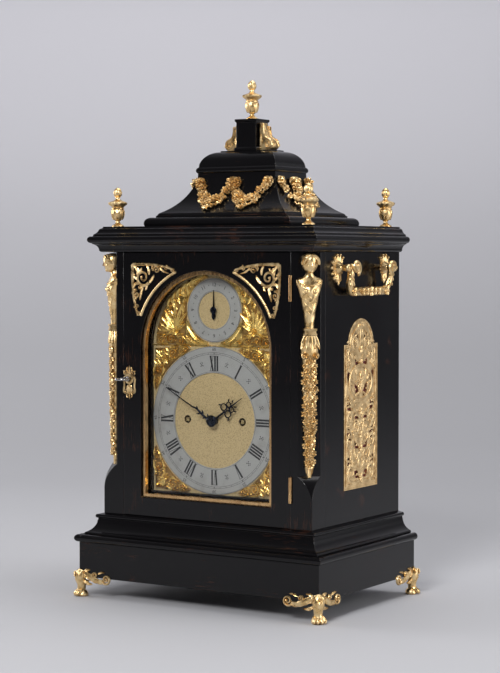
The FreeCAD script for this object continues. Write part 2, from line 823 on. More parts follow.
def make_front_door():
    z0 = CASE_FOOT + DOOR_GAP
    z1 = CASE_TOP - DOOR_GAP
    x1 = DOOR_HALF - DOOR_GAP
    plan = [
        (-DOOR_HALF + DOOR_GAP, FRONT_Y),
        (x1, FRONT_Y),
        (x1, DOOR_Y1),
        (-DOOR_HALF + DOOR_GAP + DOOR_BEVEL, DOOR_Y1),
    ]
    door = slab_z(plan, z0, z1)
    door = door.cut(slab_y(arch_outline(), FRONT_Y - 1, DOOR_Y1 + 1))
    # rebate for the glass, cut from the back
    door = door.cut(slab_y(arch_outline(-GLASS_LAP), GLASS_Y, DOOR_Y1 + 1))
    door = door.cut(turned_y(KEY_X, KEY_Z, FRONT_Y - 1, DOOR_Y1 - 3.0, SHANK_R + 1.2))
    door = door.cut(turned_y(KEY_X, KEY_Z, BIT_Y - 1.0, DOOR_Y1 - 3.0, BIT_LONG + 1.0))
    slot = block(
        -DOOR_HALF - 1,
        BOLT_X1 + BOLT_THROW + 1,
        BOLT_Y - AIR / 2,
        BOLT_Y + BOLT_THICK + AIR / 2,
        BOLT_Z0 - AIR / 2,
        BOLT_Z0 + BOLT_HIGH + AIR / 2,
    )
    door = door.cut(slot)
    for z in (HINGE_HIGH, HINGE_LOW):
        door = door.cut(hinge_room(z))
        door = door.cut(leaf_box(z, 1, 0.0))
    return door


def make_door_bead():
    """Brass lining of the opening: a convex strip mitred at the sill."""
    y0 = FRONT_Y + BEAD_SET
    body = slab_y(arch_outline(), y0 + 1.5, GLASS_Y)
    nose = slab_y(arch_outline(1.0), y0, y0 + 1.5)
    return fused(body, nose).cut(slab_y(arch_outline(BEAD), y0 - 1, GLASS_Y + 1))


def make_door_glass():
    return slab_y(arch_outline(GLASS_SLACK - GLASS_LAP), GLASS_Y, GLASS_Y + GLASS)


def leaf_box(z, side, grow):
    """Space of one hinge leaf: side 1 lies on the door's edge, side -1 on the post."""
    half = HINGE_LONG / 2 + grow
    back = FRONT_Y + LEAF_WIDE
    if side > 0:
        edge = DOOR_HALF - DOOR_GAP
        return block(edge - LEAF, edge + 0.01, HINGE_Y, back, z - half, z + half)
    return block(DOOR_HALF, DOOR_HALF + LEAF, HINGE_Y, back, z - half, z + half)


def knuckles(z, which):
    """Hinge barrel: the outer two thirds belong to the case, the middle one to the door."""
    third = HINGE_LONG / 3
    half = HINGE_LONG / 2
    if which == "door":
        return [turned_z(HINGE_X, HINGE_Y, z - third / 2, z + third / 2, HINGE_R)]
    low = turned_z(HINGE_X, HINGE_Y, z - half, z - third / 2 - KNUCKLE_GAP, HINGE_R)
    high = turned_z(HINGE_X, HINGE_Y, z + third / 2 + KNUCKLE_GAP, z + half, HINGE_R)
    return [low, high]


def make_case_hinges():
    """Fixed leaves with their knuckles and pins."""
    made = []
    for z in (HINGE_HIGH, HINGE_LOW):
        third = HINGE_LONG / 3
        pin = turned_z(HINGE_X, HINGE_Y, z - HINGE_LONG / 2, z + HINGE_LONG / 2, HINGE_PIN_R)
        leaf = leaf_box(z, -1, 0.0)
        room = third / 2 + KNUCKLE_GAP
        leaf = leaf.cut(turned_z(HINGE_X, HINGE_Y, z - room, z + room, HINGE_R + AIR))
        made.append(fused(leaf, pin, *knuckles(z, "case")))
    return made


def make_door_leaves():
    """Leaves let into the door's edge, each with the middle knuckle."""
    made = []
    for z in (HINGE_HIGH, HINGE_LOW):
        third = HINGE_LONG / 3
        leaf = leaf_box(z, 1, 0.0)
        for low, high in ((z - HINGE_LONG / 2 - 1, z - third / 2), (z + third / 2, z + HINGE_LONG / 2 + 1)):
            leaf = leaf.cut(turned_z(HINGE_X, HINGE_Y, low, high, HINGE_R + AIR))
        whole = fused(leaf, *knuckles(z, "door"))
        whole = whole.cut(turned_z(HINGE_X, HINGE_Y, z - HINGE_LONG, z + HINGE_LONG, HINGE_PIN_R + RUN))
        made.append(whole)
    return made


def make_escutcheon():
    """Shield-shaped key plate with a keyhole."""
    thick = ESCUTCHEON
    x = KEY_X
    z = KEY_Z
    shield = [
        (x - 4.0, z - 22.0),
        ((x, z - 25.5), (x + 4.0, z - 22.0)),
        ((x + 10.5, z - 17.0), (x + 8.0, z - 8.0)),
        ((x + 6.6, z - 3.5), (x + 10.0, z + 1.0)),
        ((x + 9.6, z + 8.0), (x + 5.0, z + 10.5)),
        ((x, z + 17.0), (x - 5.0, z + 10.5)),
        ((x - 9.4, z + 8.0), (x - 9.2, z + 1.0)),
        ((x - 6.6, z - 3.5), (x - 8.0, z - 8.0)),
        ((x - 9.3, z - 17.0), (x - 4.0, z - 22.0)),
    ]
    plate = slab_y(straight(shield), FRONT_Y - thick, FRONT_Y)
    hole = turned_y(x, z, FRONT_Y - 5, FRONT_Y + 5, SHANK_R + KEY_CLEAR)
    slit = block(x - 1.3, x + 1.3, FRONT_Y - 5, FRONT_Y + 5, z - 6.5, z)
    return plate.cut(hole).cut(slit)


def make_door_key():
    """Steel key, turned so that its bow lies level, with its bit inside the lock."""
    y0 = FRONT_Y - KEY_PROUD
    shank = turned_y(KEY_X, KEY_Z, y0 + 14.5, BIT_Y + 4.0, SHANK_R)
    collar = turned_y(KEY_X, KEY_Z, FRONT_Y - 6.5, FRONT_Y - 4.5, SHANK_R + 1.2)
    bit = block(KEY_X, KEY_X + BIT_LONG, BIT_Y, BIT_Y + 3.5, KEY_Z - 0.9, KEY_Z + 0.9)
    half = BOW_THICK / 2
    bow = turned_z(KEY_X, y0 + BOW_R, KEY_Z - half, KEY_Z + half, BOW_R)
    bow = bow.cut(turned_z(KEY_X, y0 + BOW_R, KEY_Z - half - 1, KEY_Z + half + 1, BOW_HOLE_R))
    return fused(shank, collar, bit, bow)


def make_lock_bolt():
    x0 = -DOOR_HALF + DOOR_GAP + DOOR_BEVEL
    return block(x0, BOLT_X1, BOLT_Y, BOLT_Y + BOLT_THICK, BOLT_Z0, BOLT_Z0 + BOLT_HIGH)


def make_door_fret():
    """Right-hand pierced spandrel over the arch: three leafy openings in a curved triangle."""
    y1 = FRONT_Y
    y0 = y1 - FRET_PLATE
    outer = DOOR_HALF - 13.3
    top = CASE_TOP - 13.1
    ring = SIGHT_HALF + 5.0
    inner_x = 40.0
    low_z = top - 65.5
    foot_x = math.sqrt(ring**2 - (low_z - SIGHT_SPRING) ** 2)
    head_z = SIGHT_SPRING + math.sqrt(ring**2 - inner_x**2)
    mid = (ring * math.cos(math.radians(45.0)), SIGHT_SPRING + ring * math.sin(math.radians(45.0)))
    steps = [(outer, top), (inner_x, top), (inner_x, head_z), (mid, (foot_x, low_z)), (outer, low_z)]
    plate = slab_y(steps, y0, y1)
    cuts = []
    # a row of openings that follows the arch: direction from its middle, distance outside it, size
    for degrees, out, size in ((31, 6.5, 3.6), (41, 8.5, 5.0), (55, 9.0, 5.2), (65, 6.5, 3.4)):
        a = math.radians(degrees)
        x = (ring + out) * math.cos(a)
        z = SIGHT_SPRING + (ring + out) * math.sin(a)
        cuts.append(teardrop(x, z, size, degrees + 90, y0, y1))
    # and one in the corner: distances in from it, size, direction
    corner = ((8.2, 11.0, 5.4, 45), (6.7, 31.5, 4.4, 80), (23.7, 8.0, 4.4, 10), (12.7, 22.5, 3.2, 225))
    for left, down, size, degrees in corner:
        cuts.append(teardrop(outer - left, top - down, size, degrees, y0, y1))
    return plate.cut(cuts)


def teardrop(x, z, size, degrees, y0, y1):
    """Leaf-shaped opening: round at one end, pointed at the other."""
    a = math.radians(degrees)
    c, s = math.cos(a), math.sin(a)

    def at(u, v):
        return (x + u * c - v * s, z + u * s + v * c)

    steps = [
        at(-size, 0.0),
        at(-size * 0.5, -size * 0.62),
        at(size * 0.6, -size * 0.5),
        at(size * 1.7, size * 0.5),
        at(size * 0.5, size * 0.45),
        at(-size * 0.5, size * 0.62),
    ]
    return slab_y(steps, y0 - 1, y1 + 1)


# ---------------------------------------------------------------- side frets and handles
def make_side_fret():
    """Right-hand pierced fret: a plain border round two columns of scrolled leaves."""
    x1 = CASE_HALF
    x0 = x1 - FRET_THICK
    fret = slab_x(fret_outline(AIR / 2), x0, x1)
    rows = 5
    low = FRET_LOW + 8.0
    pitch = (FRET_SHOULDER - FRET_LOW - 4.0) / rows
    cuts = []
    for row in range(rows):
        z = low + pitch * (row + 0.5)
        for side in (-1, 1):
            cuts.append(leaf_x(FRET_Y + side * 10.5, z - 8.0, 9.0, 90 - 28 * side, x0, x1))
            cuts.append(leaf_x(FRET_Y + side * 27.0, z + 6.0, 9.5, 270 - 22 * side, x0, x1))
    crown_z = FRET_SHOULDER + 6.0
    for degrees in (25, 90, 155):
        a = math.radians(degrees)
        cuts.append(leaf_x(FRET_Y + 14.0 * math.cos(a), crown_z + 9.0 * math.sin(a), 6.5, degrees, x0, x1))
    return fret.cut(cuts)


def leaf_x(y, z, size, degrees, x0, x1):
    """Leaf-shaped opening through a side plate."""
    a = math.radians(degrees)
    c, s = math.cos(a), math.sin(a)

    def at(u, v):
        return (y + u * c - v * s, z + u * s + v * c)

    steps = [
        at(-size, 0.0),
        at(-size * 0.62, -size * 0.46),
        at(size * 0.2, -size * 0.56),
        at(size * 1.1, size * 0.1),
        at(size * 0.25, size * 0.30),
        at(-size * 0.55, size * 0.44),
    ]
    return slab_x(steps, x0 - 1, x1 + 1)


def make_silk():
    """Cloth behind the right-hand fret."""
    x1 = CASE_HALF - FRET_THICK
    return slab_x(fret_outline(AIR / 2), x1 - SILK_THICK, x1)


def handle_ends():
    """Y of the two sockets of a handle."""
    return (HANDLE_Y - HANDLE_SPAN / 2, HANDLE_Y + HANDLE_SPAN / 2)


def make_handle_plates():
    """Shell back plates of the right-hand handle, each with the socket that holds the bail."""
    made = []
    x0 = CASE_HALF
    for y, way in zip(handle_ends(), (-1, 1)):
        wide = 15.0
        steps = [
            (y - 4.0, HANDLE_Z - 19.0),
            ((y, HANDLE_Z - 20.5), (y + 4.0, HANDLE_Z - 19.0)),
            ((y + 12.0, HANDLE_Z - 11.0), (y + wide, HANDLE_Z + 1.0)),
            ((y + wide - 1.5, HANDLE_Z + 7.5), (y + 9.5, HANDLE_Z + 10.0)),
            ((y + 6.5, HANDLE_Z + 15.0), (y, HANDLE_Z + 15.6)),
            ((y - 6.5, HANDLE_Z + 15.0), (y - 9.5, HANDLE_Z + 10.0)),
            ((y - wide + 1.5, HANDLE_Z + 7.5), (y - wide, HANDLE_Z + 1.0)),
            ((y - 12.0, HANDLE_Z - 11.0), (y - 4.0, HANDLE_Z - 19.0)),
        ]
        shell = slab_x(straight(steps), x0, x0 + SHELL_THICK)
        post = Part.makeCylinder(SOCKET_R, HANDLE_OUT, V(x0, y, HANDLE_Z), V(1, 0, 0))
        knob = ball(V(x0 + HANDLE_OUT, y, HANDLE_Z), SOCKET_R + 1.0, V(1, 0, 0))
        whole = fused(shell, post, knob)
        inward = -way
        start = y + inward * (SOCKET_R + 1.0 - PIVOT_LONG)
        low = min(start, start + inward * (PIVOT_LONG + 1))
        whole = whole.cut(turned_y(x0 + HANDLE_OUT, HANDLE_Z, low, low + PIVOT_LONG + 1, PIVOT_R + RUN))
        made.append(whole)
    return made


def make_bail():
    """Right-hand swing handle: a bar hung from two pivots, with a swelling at its middle."""
    x = CASE_HALF + HANDLE_OUT
    y0, y1 = handle_ends()
    reach = SOCKET_R + 1.0 + AIR
    ear = 3.4
    a0 = y0 + reach
    a1 = y1 - reach
    low = HANDLE_Z - BAIL_DROP
    lean = BAIL_LEAN
    pieces = []
    for inner, way in ((a0, 1), (a1, -1)):
        pin_from = inner - way * (AIR + PIVOT_LONG - 0.8)
        pieces.append(turned_y(x, HANDLE_Z, min(pin_from, inner), max(pin_from, inner), PIVOT_R))
        pieces.append(
            turned_y(x, HANDLE_Z, min(inner, inner + way * 4.0), max(inner, inner + way * 4.0), ear)
        )
        top = V(x, inner + way * 2.0, HANDLE_Z)
        knee = V(x - lean * 0.6, inner + way * 4.5, low + 9.0)
        foot = V(x - lean, inner + way * 11.0, low)
        for start, end in ((top, knee), (knee, foot)):
            step = end - start
            pieces.append(Part.makeCylinder(BAIL_R, step.Length, start, step))
        pieces.append(ball(knee, BAIL_R + 0.3))
        pieces.append(ball(foot, BAIL_R + 1.2, V(0, 1, 0)))
    bar0 = a0 + 11.0
    bar1 = a1 - 11.0
    pieces.append(turned_y(x - lean, low, bar0, bar1, BAIL_R))
    middle = (bar0 + bar1) / 2
    swell = [(0.0, 0.0), (BAIL_R, 0.0), ((BAIL_R + 2.2, 10.0), (BAIL_R, 20.0)), (0.0, 20.0)]
    pieces.append(lathe(swell, V(x - lean, middle - 10.0, low), V(0, 1, 0)))
    return fused(pieces[0], *pieces[1:])


# ---------------------------------------------------------------- back door
def back_span():
    """Half width, foot and head of the back opening."""
    return INNER_HALF, CASE_FOOT, CORNICE_TOP - TOP_BOARD


def make_back_door():
    half, foot, head = back_span()
    z0 = foot + BACK_GAP
    z1 = head - BACK_GAP
    left = -half + BACK_GAP
    thick = BACK_THICK
    plan = [
        (left + 0.8, BACK_Y - thick),
        (BACK_PIVOT_X, BACK_Y - thick),
        ((BACK_PIVOT_X + thick / 2, BACK_PIVOT_Y), (BACK_PIVOT_X, BACK_Y)),
        (left, BACK_Y),
    ]
    door = slab_z(plan, z0, z1)
    sight = BACK_SIGHT_HALF
    door = door.cut(block(-sight, sight, BACK_Y - thick - 1, BACK_Y + 1, BACK_SIGHT_SILL, BACK_SIGHT_HEAD))
    wide = sight + BACK_LAP
    low = BACK_SIGHT_SILL - BACK_LAP
    high = BACK_SIGHT_HEAD + BACK_LAP
    rebate = block(-wide, wide, BACK_Y - thick - 1, BACK_Y - thick + GLASS + 1.0, low, high)
    door = door.cut(rebate)
    for z in (z0 - 1, z1 - BACK_PIN_LONG):
        door = door.cut(turned_z(BACK_PIVOT_X, BACK_PIVOT_Y, z, z + BACK_PIN_LONG + 1, BACK_PIN_R + RUN))
    return door.cut(turned_y(LATCH_X, LATCH_Z, BACK_Y - thick - 1, BACK_Y + 1, LATCH_STEM_R + RUN))


def make_back_glass():
    lap = BACK_LAP - GLASS_SLACK
    wide = BACK_SIGHT_HALF + lap
    y0 = BACK_Y - BACK_THICK + 1.0
    return block(-wide, wide, y0, y0 + GLASS, BACK_SIGHT_SILL - lap, BACK_SIGHT_HEAD + lap)


def make_back_pivots():
    """Steel pins that the back door turns on, driven into the foot and the top board."""
    half, foot, head = back_span()
    reach = BACK_PIN_LONG - 1.0
    low = turned_z(BACK_PIVOT_X, BACK_PIVOT_Y, foot, foot + reach, BACK_PIN_R)
    high = turned_z(BACK_PIVOT_X, BACK_PIVOT_Y, head - reach, head, BACK_PIN_R)
    return [low, high]


def make_back_latch():
    """Brass turn-catch: a knob outside, a tongue inside that swings behind the side panel."""
    stem = turned_y(LATCH_X, LATCH_Z, LATCH_Y0 - 1.0, BACK_Y + 3.0, LATCH_STEM_R)
    x0 = LATCH_X - LATCH_HALF
    x1 = LATCH_X + LATCH_HALF
    tongue = block(x0, x1, LATCH_Y0, LATCH_Y1, LATCH_Z - LATCH_HALF, LATCH_Z + LATCH_LONG)
    knob_steps = [(0.0, 0.0), (4.0, 0.0), ((7.2, 2.0), (5.6, 4.0)), (0.0, 4.0)]
    knob = lathe(knob_steps, V(LATCH_X, BACK_Y + 1.0, LATCH_Z), V(0, 1, 0))
    return fused(stem, tongue, knob)


# ---------------------------------------------------------------- dial
def dial_outline(less=0.0):
    """Square dial with a round arch over it."""
    half = DIAL_HALF - less
    return [
        (-half, DIAL_FOOT - (DIAL_HALF - half) + 2 * less),
        (half, DIAL_FOOT - (DIAL_HALF - half) + 2 * less),
        (half, DIAL_SHOULDER),
        ((0.0, DIAL_SHOULDER + half), (-half, DIAL_SHOULDER)),
    ]


def make_dial_mask():
    """Board behind the door that frames the dial."""
    y0 = DOOR_Y1 + AIR
    y1 = DIAL_Y + DIAL_PLATE + 4.0
    board = block(-DOOR_HALF, DOOR_HALF, y0, y1, CASE_FOOT, CASE_TOP)
    return board.cut(slab_y(dial_outline(-0.5), y0 - 1, y1 + 1))


def make_dial_plate():
    """Brass plate with holes for the arbors, a raised matted centre and four feet."""
    y0 = DIAL_Y
    y1 = DIAL_Y + DIAL_PLATE
    plate = slab_y(dial_outline(), y0, y1)
    feet = [
        turned_y(x, z, y1, FRONT_PLATE_Y, 3.0)
        for x in (-PLATE_HALF + 9, PLATE_HALF - 9)
        for z in (PLATE_LOW + 22, PLATE_HIGH - 22)
    ]
    plate = fused(plate, *feet)
    plate = plate.cut(turned_y(0, HAND_Z, y0 - 1, y1 + 1, HOUR_PIPE_R + 1.5))
    plate = plate.cut(turned_y(0, ARCH_Z, y0 - 1, y1 + 1, ARCH_STEM_R + RUN))
    for side in (-1, 1):
        plate = plate.cut(turned_y(side * WIND_X, HAND_Z, y0 - 1, y1 + 1, WIND_R))
    return plate


def make_rings():
    """Silvered chapter ring and the smaller ring in the arch."""
    chapter = ring_y(0, HAND_Z, DIAL_Y - RING_THICK, DIAL_Y, DIAL_HALF - RING_EDGE, RING_IN)
    arch = ring_y(0, ARCH_Z, DIAL_Y - RING_THICK, DIAL_Y, ARCH_R, ARCH_IN)
    return [chapter, arch]


def make_spandrels():
    """Cast corner ornaments, four round the chapter ring and two in the arch."""
    made = []
    y0 = DIAL_Y - SPANDREL_THICK
    y1 = DIAL_Y
    ring = DIAL_HALF + 1.6
    edge = DIAL_HALF - 4.0
    for side in (-1, 1):
        for up in (-1, 1):
            corner_z = HAND_Z + up * edge
            near = math.sqrt(ring**2 - edge**2)
            middle = ring / math.sqrt(2)
            steps = [
                (side * edge, corner_z),
                (side * near * 1.08, corner_z),
                ((side * middle, HAND_Z + up * middle), (side * edge, HAND_Z + up * near * 1.08)),
            ]
            if up > 0:
                ring_gap = ARCH_R + 1.6
                piece = slab_y(steps, y0, y1).cut(turned_y(0, ARCH_Z, y0 - 1, y1 + 1, ring_gap))
            else:
                piece = slab_y(steps, y0, y1)
            centre_u = edge - 9.0
            hole = teardrop(side * centre_u, HAND_Z + up * centre_u, 3.4, 45.0 * side, y0, y1)
            made.append(piece.cut(hole))
        # dolphin beside the arch ring
        low = DIAL_SHOULDER + 2.0
        outer = DIAL_HALF - 5.0
        inner = ARCH_R + 2.0
        high = ARCH_Z + 9.0
        out_high = math.sqrt(outer**2 - (high - DIAL_SHOULDER) ** 2)
        mid_z = (low + high) / 2
        out_mid = math.sqrt(outer**2 - (mid_z - DIAL_SHOULDER) ** 2)
        piece = slab_y(
            [
                (side * math.sqrt(outer**2 - (low - DIAL_SHOULDER) ** 2), low),
                ((side * out_mid, mid_z), (side * out_high, high)),
                (side * inner, high),
                (side * inner, low),
            ],
            y0,
            y1,
        )
        made.append(piece.cut(teardrop(side * (inner + out_mid) / 2, mid_z - 3, 4.2, 90.0, y0, y1)))
    return made


# ---------------------------------------------------------------- hands
def hand_turn(shape, degrees, z=HAND_Z):
    """Turns a hand that was drawn pointing at twelve."""
    turned = shape.copy()
    turned.rotate(V(0, 0, z), V(0, 1, 0), degrees)
    return turned


def make_minute_hand():
    """Serpentine minute hand with a leafy root and a domed boss."""
    z = HAND_Z
    y0 = MINUTE_Y - HAND_THICK
    tip = z + MINUTE_LONG
    steps = [
        (-1.6, z + 4.0),
        ((-5.4, z + 12.0), (-1.0, z + 21.0)),
        ((-4.2, z + 33.0), (-0.8, z + 46.0)),
        (0.0, tip),
        (1.0, z + 46.0),
        ((-1.6, z + 33.0), (1.4, z + 21.0)),
        ((5.4, z + 12.0), (1.6, z + 4.0)),
    ]
    blade = slab_y(steps, y0, y0 + HAND_THICK)
    dome = [(0.0, 0.0), (5.6, 0.0), (5.6, 1.2), (3.6, 2.2), (0.0, 2.6)]
    boss = lathe(dome, V(0, MINUTE_Y, z), V(0, -1, 0))
    hand = fused(blade, boss)
    hand = hand.cut(turned_y(0, z, MINUTE_Y - HAND_THICK - 0.6, MINUTE_Y + 1, CANNON_TIP_R))
    return hand_turn(hand, MINUTE_AT)


def make_hour_hand():
    """Pierced hour hand: a leaf-shaped head with two openings."""
    z = HAND_Z
    y0 = HOUR_Y - HAND_THICK
    steps = [
        (-2.2, z + 4.5),
        (-1.6, z + 15.0),
        ((-9.5, z + 26.0), (-2.0, z + 35.0)),
        (-1.2, z + 42.0),
        (0.0, z + HOUR_LONG),
        (1.2, z + 42.0),
        (2.0, z + 35.0),
        ((9.5, z + 26.0), (1.6, z + 15.0)),
        (2.2, z + 4.5),
    ]
    blade = slab_y(steps, y0, y0 + HAND_THICK)
    for side in (-1, 1):
        loop = [(side * 0.9, z + 18.0), ((side * 6.8, z + 26.0), (side * 0.9, z + 33.0))]
        eye = slab_y(loop, y0 - 1, y0 + HAND_THICK + 1)
        blade = blade.cut(eye)
    boss = turned_y(0, z, y0 - 0.3, HOUR_Y, 6.2)
    hand = fused(blade, boss).cut(turned_y(0, z, y0 - 2, HOUR_Y + 1, HOUR_PIPE_R))
    return hand_turn(hand, HOUR_AT)


def make_arch_hand():
    """Small hand in the arch, on a stem that turns in the dial plate."""
    z = ARCH_Z
    y1 = DIAL_Y - RING_THICK - 1.4
    y0 = y1 - HAND_THICK
    blade = slab_y(
        [
            (-1.3, z - 9.0),
            ((0.0, z - 11.5), (1.3, z - 9.0)),
            (0.9, z + 3.0),
            ((3.4, z + 8.0), (0.8, z + 13.0)),
            (0.0, z + 24.0),
            (-0.8, z + 13.0),
            ((-3.4, z + 8.0), (-0.9, z + 3.0)),
        ],
        y0,
        y1,
    )
    boss = turned_y(0, z, y0 - 1.0, y1, 3.4)
    stem = turned_y(0, z, y1, DIAL_Y + DIAL_PLATE + 3.0, ARCH_STEM_R)
    nut = turned_y(0, z, DIAL_Y + DIAL_PLATE + AIR, DIAL_Y + DIAL_PLATE + 2.5, 3.2)
    return fused(blade, boss, stem, nut)


# ---------------------------------------------------------------- movement: tooth counts and layers
GOING_TEETH = 54
SECOND_PINION_TEETH = 10
SECOND_TEETH = 54
CENTRE_PINION_TEETH = 10
CENTRE_TEETH = 72
THIRD_PINION_TEETH = 6
THIRD_TEETH = 66
ESCAPE_PINION_TEETH = 6
ESCAPE_TEETH = 34
STRIKE_PINION_TEETH = 8
PIN_TEETH = 44
CANNON_TEETH = 16
MINUTE_TEETH = 48
MINUTE_PINION_TEETH = 8
HOUR_TEETH = 32
GREAT_MODULE = 0.92
SECOND_MODULE = 0.76
CENTRE_MODULE = 0.56
THIRD_MODULE = 0.52
MOTION_MODULE = 0.50
HOUR_MODULE = MOTION_MODULE * (CANNON_TEETH + MINUTE_TEETH) / (MINUTE_PINION_TEETH + HOUR_TEETH)
WHEEL_THICK = 1.6
PINION_LONG = 4.0
DRUM_R = 23.0
DRUM_LONG = 20.0
ADDENDUM = 0.95
DEDENDUM = 1.35
WHEEL_SLIM = 0.66  # share of a tooth's pitch that its foot takes up
LEAF_SLIM = 0.56

# distances behind the front plate
DRUM_U = 20.0
GREAT_U = DRUM_U + DRUM_LONG + 1.0
SECOND_U = 15.0
CENTRE_U = 9.0
THIRD_U = 4.0
ESCAPE_U = 46.0


def mesh_distance(module, teeth_a, teeth_b):
    """Distance between two arbors whose toothed parts run together."""
    return module * (teeth_a + teeth_b) / 2


GOING_AT = (WIND_X, HAND_Z)
STRIKE_AT = (-WIND_X, HAND_Z)
CENTRE_AT = (0.0, HAND_Z)


def meeting(a, b, reach_a, reach_b, side):
    """Point at reach_a from a and reach_b from b, below the line from a to b for side -1."""
    dx, dz = b[0] - a[0], b[1] - a[1]
    span = math.hypot(dx, dz)
    along = (reach_a**2 - reach_b**2 + span**2) / (2 * span)
    off = math.sqrt(reach_a**2 - along**2)
    ux, uz = dx / span, dz / span
    return (a[0] + ux * along - uz * off * side, a[1] + uz * along + ux * off * side)


SECOND_AT = meeting(
    CENTRE_AT,
    GOING_AT,
    mesh_distance(SECOND_MODULE, SECOND_TEETH, CENTRE_PINION_TEETH),
    mesh_distance(GREAT_MODULE, GOING_TEETH, SECOND_PINION_TEETH),
    -1,
)
THIRD_LEAN = math.radians(112.0)
THIRD_REACH = mesh_distance(CENTRE_MODULE, CENTRE_TEETH, THIRD_PINION_TEETH)
THIRD_AT = (THIRD_REACH * math.cos(THIRD_LEAN), HAND_Z + THIRD_REACH * math.sin(THIRD_LEAN))
ESCAPE_REACH = mesh_distance(THIRD_MODULE, THIRD_TEETH, ESCAPE_PINION_TEETH)
ESCAPE_AT = (0.0, THIRD_AT[1] + math.sqrt(ESCAPE_REACH**2 - THIRD_AT[0] ** 2))
ESCAPE_R = 11.0
PALLET_RISE = 15.5
PALLET_AT = (0.0, ESCAPE_AT[1] + PALLET_RISE)
PIN_REACH = mesh_distance(GREAT_MODULE, GOING_TEETH, STRIKE_PINION_TEETH)
PIN_LEAN = math.radians(100.0)
PIN_AT = (STRIKE_AT[0] + PIN_REACH * math.cos(PIN_LEAN), HAND_Z + PIN_REACH * math.sin(PIN_LEAN))
MINUTE_REACH = mesh_distance(MOTION_MODULE, CANNON_TEETH, MINUTE_TEETH)
MINUTE_AT_X = -MINUTE_REACH * math.sin(math.radians(20.0))
MINUTE_WHEEL_AT = (MINUTE_AT_X, HAND_Z + MINUTE_REACH * math.cos(math.radians(20.0)))
HAMMER_AT = (-24.0, 296.0)
PENDULUM_Z = PALLET_AT[1] + 4.5


def heading(a, b):
    """Direction from a to b in degrees, from +X towards +Z."""
    return math.degrees(math.atan2(b[1] - a[1], b[0] - a[0]))


def toothed(at, teeth, module, y0, y1, aim, gap=False, slim=WHEEL_SLIM):
    """Wheel or pinion with pointed teeth. A tooth, or with gap the space between two, faces aim."""
    step = 2 * math.pi / teeth
    root = module * (teeth / 2 - DEDENDUM)
    tip = module * (teeth / 2 + ADDENDUM)
    start = math.radians(aim) + (step / 2 if gap else 0.0)
    half = step * slim / 2
    points = []
    for i in range(teeth):
        middle = start + i * step
        for radius, angle in ((root, middle - half), (tip, middle), (root, middle + half)):
            points.append((at[0] + radius * math.cos(angle), at[1] + radius * math.sin(angle)))
    return slab_y(points, y0, y1)


def crossed(wheel, at, y0, y1, rim, hub, arms=4):
    """Cuts the openings between the arms of a wheel."""
    arm = 1.5
    cuts = []
    for i in range(arms):
        a0 = 2 * math.pi * i / arms
        a1 = 2 * math.pi * (i + 1) / arms
        points = []
        for radius, start, end in ((rim, a0, a1), (hub, a1, a0)):
            lean = math.asin(arm / radius)
            first = start + (lean if end > start else -lean)
            last = end - (lean if end > start else -lean)
            mid = (first + last) / 2
            for turn in (first, mid, last):
                points.append((at[0] + radius * math.cos(turn), at[1] + radius * math.sin(turn)))
        cuts.append(slab_y(points, y0 - 1, y1 + 1))
    return wheel.cut(cuts)


def arbor(at, y0=None, y1=None, radius=ARBOR_R):
    """Steel arbor whose ends turn in the plates."""
    start = FRONT_PLATE_Y if y0 is None else y0
    end = BACK_PLATE_Y1 if y1 is None else y1
    return turned_y(at[0], at[1], start, end, radius)


def layer(u, thick=WHEEL_THICK):
    """Front and back of a wheel that lies u behind the front plate."""
    return INNER_Y0 + u, INNER_Y0 + u + thick


# ---------------------------------------------------------------- movement: frame
def bored(plate, y0, y1, holes):
    """Cuts running holes into a plate: each is (place, radius of what turns in it)."""
    return plate.cut([turned_y(at[0], at[1], y0 - 1, y1 + 1, radius + RUN) for at, radius in holes])


def make_front_plate():
    plate = block(-PLATE_HALF, PLATE_HALF, FRONT_PLATE_Y, INNER_Y0, PLATE_LOW, PLATE_HIGH)
    holes = [(at, ARBOR_R) for at in (SECOND_AT, THIRD_AT, ESCAPE_AT, PALLET_AT, PIN_AT, HAMMER_AT)]
    holes += [(GOING_AT, WINDING_R), (STRIKE_AT, WINDING_R), (CENTRE_AT, CENTRE_R)]
    plate = bored(plate, FRONT_PLATE_Y, INNER_Y0, holes)
    stud = turned_y(
        MINUTE_WHEEL_AT[0], MINUTE_WHEEL_AT[1], FRONT_PLATE_Y - 9.0, FRONT_PLATE_Y, STUD_R
    )
    return fused(plate, stud)


def make_back_plate():
    plate = block(-PLATE_HALF, PLATE_HALF, INNER_Y1, BACK_PLATE_Y1, PLATE_LOW, PLATE_HIGH)
    holes = [(at, ARBOR_R) for at in (SECOND_AT, THIRD_AT, ESCAPE_AT, PIN_AT, HAMMER_AT)]
    holes += [(GOING_AT, WINDING_R), (STRIKE_AT, WINDING_R), (CENTRE_AT, CENTRE_R)]
    plate = bored(plate, INNER_Y1, BACK_PLATE_Y1, holes)
    return plate.cut(turned_y(PALLET_AT[0], PALLET_AT[1], INNER_Y1 - 1, BACK_PLATE_Y1 + 1, 7.0))


def make_pillars():
    made = []
    inset = PILLAR_INSET
    for x in (-PLATE_HALF + inset, PLATE_HALF - inset):
        for z in (PLATE_LOW + inset, PLATE_HIGH - inset):
            long = PLATE_GAP
            r = PILLAR_R
            steps = [
                (0.0, 0.0),
                (r + 1.0, 0.0),
                (r + 1.0, 4.0),
                (r - 1.2, 7.0),
                (r + 0.6, long / 2),
                (r - 1.2, long - 7.0),
                (r + 1.0, long - 4.0),
                (r + 1.0, long),
                (0.0, long),
            ]
            made.append(lathe(steps, V(x, INNER_Y0, z), V(0, 1, 0)))
    return made


